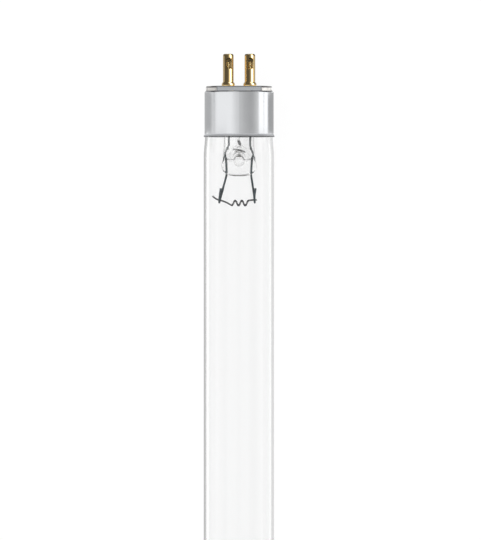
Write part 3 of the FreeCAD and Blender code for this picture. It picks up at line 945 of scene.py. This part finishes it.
def stem_hollow():
    """The air inside the stem: round in the tube, pinched to two pockets beside the exhaust tube."""
    beyond_rim = FLARE_TOP - 0.6
    air = flare("hollow", beyond_rim, FLARE_RADIUS - STEM_WALL, STEM_INSIDE, foot=13.4)
    combine(air, loft("pinch", PINCHED_HOLLOW), "UNION")
    return combine(air, lathe("exhaust", EXHAUST_TUBE, steps=32), "DIFFERENCE")


def blown_hole():
    """The bore of the exhaust tube and the hole blown from it through the upper face of the press."""
    bore = lathe("bore", EXHAUST_BORE, steps=32)
    select_nothing()
    mouth_radius = 2 * HOLE_RADIUS - HOLE_FOOT_RADIUS
    bpy.ops.mesh.primitive_cone_add(
        vertices=40, radius1=HOLE_FOOT_RADIUS, radius2=mouth_radius, depth=HOLE_HEIGHT,
        location=place(HOLE_DEPTH, 0, HOLE_HEIGHT / 2),
    )
    hole = new_piece("hole")
    close_piece()
    return combine(bore, hole, "UNION")


def stems(finish):
    """The glass of both ends: flare, tube, press and exhaust tube in one piece, soft from the burner."""
    glass = squeezed_glass("pressed_stem_a")
    combine(glass, stem_hollow(), "DIFFERENCE")
    combine(glass, blown_hole(), "DIFFERENCE")
    apply_modifier(glass, "REMESH", mode="VOXEL", voxel_size=VOXEL)
    apply_modifier(glass, "SMOOTH", factor=0.5, iterations=6)
    make_active(glass)
    bpy.ops.object.shade_smooth()
    to_metres(glass)
    hand_over_both_ends(glass, "stem_a", finish)


# Lead-in wires, each point a depth, a sideways place and a height over the axis

LEAD_RADIUS = 0.235
WELD_DEPTH = 17.7
OUTER_ROUTES = {
    1: (
        (-5.2, -2.375, 0), (3.4, -2.375, 0), (8.0, -2.3, 0), (10.9, -2.24, 0), (12.9, -2.22, 0),
        (13.5, -2.3, 0), (13.9, -2.62, 0), (14.3, -2.85, 0), (14.9, -2.92, 0), (15.6, -2.9, 0),
        (16.6, -2.84, 0), (WELD_DEPTH, -2.78, 0),
    ),
    2: (
        (-5.2, 2.375, 0), (3.4, 2.375, 0), (8.0, 2.45, 0), (10.9, 2.5, 0), (12.6, 2.46, 0), (13.6, 2.44, 0),
        (14.1, 2.65, 0), (14.7, 2.9, 0), (15.4, 2.87, 0), (16.6, 2.8, 0), (WELD_DEPTH, 2.72, 0),
    ),
}
# Each hook lies under the coil's leg on its way down and over it on its way back
UNDER = -0.4
OVER = 0.4
HOOK_FOOT = 25.6
INNER_ROUTES = {
    1: (
        (WELD_DEPTH, -2.78, 0), (18.6, -2.74, 0), (19.4, -2.72, 0), (20.0, -2.86, 0), (22.0, -3.42, -0.1),
        (23.4, -3.78, -0.34), (24.4, -4.04, UNDER), (25.1, -4.25, UNDER), (HOOK_FOOT, -4.36, UNDER),
        (HOOK_FOOT, -4.38, OVER), (25.1, -4.34, OVER), (24.2, -4.22, OVER), (23.2, -4.1, OVER),
        (22.45, -4.02, OVER),
    ),
    2: (
        (WELD_DEPTH, 2.72, 0), (18.6, 2.66, 0), (19.4, 2.62, 0), (20.0, 2.7, 0), (22.0, 3.02, -0.1),
        (23.4, 3.22, -0.34), (24.4, 3.35, UNDER), (25.1, 3.42, UNDER), (HOOK_FOOT, 3.46, UNDER),
        (HOOK_FOOT, 3.44, OVER), (25.1, 3.38, OVER), (24.2, 3.38, OVER), (23.2, 3.48, OVER),
        (22.45, 3.62, OVER),
    ),
}
# Each pad's sideways place at its top, half width and lean
PADS = {1: (-4.1, 0.26, -0.12), 2: (3.5, 0.22, -0.07)}
PAD_TOP = 23.1
PAD_FOOT = 25.15
PAD_SLOPE = 0.25
PAD_END_RADIUS = 0.2
PAD_HALF_THICKNESS = 0.16


def route_curve(points):
    """A smooth open curve through the neighbourhood of the points, from the first to the last."""
    select_nothing()
    bpy.ops.curve.primitive_nurbs_path_add()
    route = bpy.context.object
    route.name = "route"
    route.data.splines.clear()
    spline = route.data.splines.new("NURBS")
    spline.points.add(len(points) - 1)
    for target, point in zip(spline.points, points):
        target.co = (*point, 1)
    spline.order_u = 4
    spline.use_endpoint_u = True
    spline.resolution_u = 6
    return route


def drawn_wire(name, points):
    """A round wire with closed ends that follows the points smoothly."""
    wire = route_curve([place(*point) for point in points])
    wire.data.bevel_depth = LEAD_RADIUS
    wire.data.bevel_resolution = 4
    wire.data.use_fill_caps = True
    make_active(wire)
    bpy.ops.object.convert(target="MESH")
    wire = new_piece(name)
    close_piece()
    return wire


def squeezed_pad(sideways, half_width, lean):
    """The flat of the folded leg, where it was clamped on the coil."""
    stations = (
        (PAD_TOP, PAD_END_RADIUS, PAD_END_RADIUS),
        (PAD_TOP + PAD_SLOPE, half_width, PAD_HALF_THICKNESS),
        (PAD_FOOT - PAD_SLOPE, half_width, PAD_HALF_THICKNESS),
        (PAD_FOOT, PAD_END_RADIUS, PAD_END_RADIUS),
    )
    pad = loft("pad", stations, sideways=sideways)
    pad.location.z += OVER
    pad.rotation_euler.z = lean
    return pad


def finish_lead(wire, node, finish):
    make_active(wire)
    bpy.ops.object.shade_smooth_by_angle(angle=SHARP_ANGLE)
    to_metres(wire)
    hand_over_both_ends(wire, node, finish)


def leads(finish):
    """The bent wires from the pins to the welds in the press, and those from the welds to the hooks."""
    for number, points in OUTER_ROUTES.items():
        wire = drawn_wire("pin_lead_a%d" % number, points)
        finish_lead(wire, "outer_lead_a%d" % number, finish)
    for number, points in INNER_ROUTES.items():
        wire = drawn_wire("hooked_lead_a%d" % number, points)
        combine(wire, squeezed_pad(*PADS[number]), "UNION")
        finish_lead(wire, "inner_lead_a%d" % number, finish)


# Electrode coil, with the depths and sideways places of its two straight legs

COIL_DEPTH = 25.7
WAVE_RADIUS = 0.56
WAVE_PITCH = 1.47
WAVE_START = -1.6
WAVES = 2.5
POINTS_A_TURN = 12
LEFT_LEG = ((24.14, -5.85), (24.8, -5.22), (25.03, -4.3), (25.25, -3.6), (25.55, -2.75))
RIGHT_LEG = ((25.05, 2.75), (25.0, 3.3), (25.02, 3.9))
WIRE_RADIUS = 0.055
WINDING_RADIUS = 0.16
WINDING_PITCH = 0.14


def coil_route():
    """The line of the wound wire: a straight leg, the helix between the hooks and a second straight leg."""
    points = [place(*point) for point in LEFT_LEG]
    for step in range(int(WAVES * POINTS_A_TURN) + 1):
        turn = 2 * math.pi * step / POINTS_A_TURN
        sideways = WAVE_START + WAVE_PITCH * step / POINTS_A_TURN
        depth = COIL_DEPTH + WAVE_RADIUS * math.cos(turn)
        points.append(place(depth, sideways, WAVE_RADIUS * math.sin(turn)))
    return points + [place(*point) for point in RIGHT_LEG]


def coils(finish):
    """The doubly wound filament of both ends: a fine helix of wire that follows the coarse one."""
    route = route_curve(coil_route())
    length = route.data.splines[0].calc_length()
    select_nothing()
    bpy.ops.mesh.primitive_circle_add(
        vertices=6, radius=WIRE_RADIUS, rotation=(math.pi / 2, 0, 0), location=(0, 0, WINDING_RADIUS)
    )
    coil = bpy.context.object
    bpy.ops.object.transform_apply(location=True, rotation=True, scale=True)
    turns = round(length / WINDING_PITCH)
    apply_modifier(
        coil, "SCREW", axis="X", screw_offset=length / turns, iterations=turns, steps=10, render_steps=10,
        use_smooth_shade=True,
    )
    apply_modifier(coil, "CURVE", object=route, deform_axis="POS_X")
    new_piece("filament_a")
    bpy.ops.mesh.fill_holes(sides=0)
    close_piece()
    to_metres(coil)
    bpy.data.objects.remove(route)
    hand_over_both_ends(coil, "electrode_coil_a", finish)


# The scene is put together

camera()
world()
floor()
key_lamp()
arches()

bpy.context.scene.view_settings.view_transform = "Standard"
bpy.context.scene.cycles.max_bounces = 24
bpy.context.scene.cycles.transmission_bounces = 20
bpy.context.scene.cycles.glossy_bounces = 8

finishes = {
    "glass": clear_glass("tube_glass", absorption=50.0, waviness=0.05, painted_edge_shade=0.9),
    "stem_glass": clear_glass(
        "stem_glass", absorption=3.0, waviness=0.1, painted_edge_shade=0.75, crease_shade=press_crease_shade
    ),
    "aluminium": drawn_aluminium(),
    "insulator": moulded_phenolic(),
    "brass": polished_brass(),
    "cement": basing_cement(),
    "lead_wire": nickel_wire(),
    "tungsten": coated_tungsten(),
    "mercury": liquid_mercury(),
}
for subpart in frame["record"]["subparts"]:
    node = frame["nodes"][subpart["node"]]
    for slot in node.material_slots:
        slot.material = finishes[subpart["material_slot"]]

glass_tube(finishes["glass"])
stems(finishes["stem_glass"])
leads(finishes["lead_wire"])
coils(finishes["tungsten"])
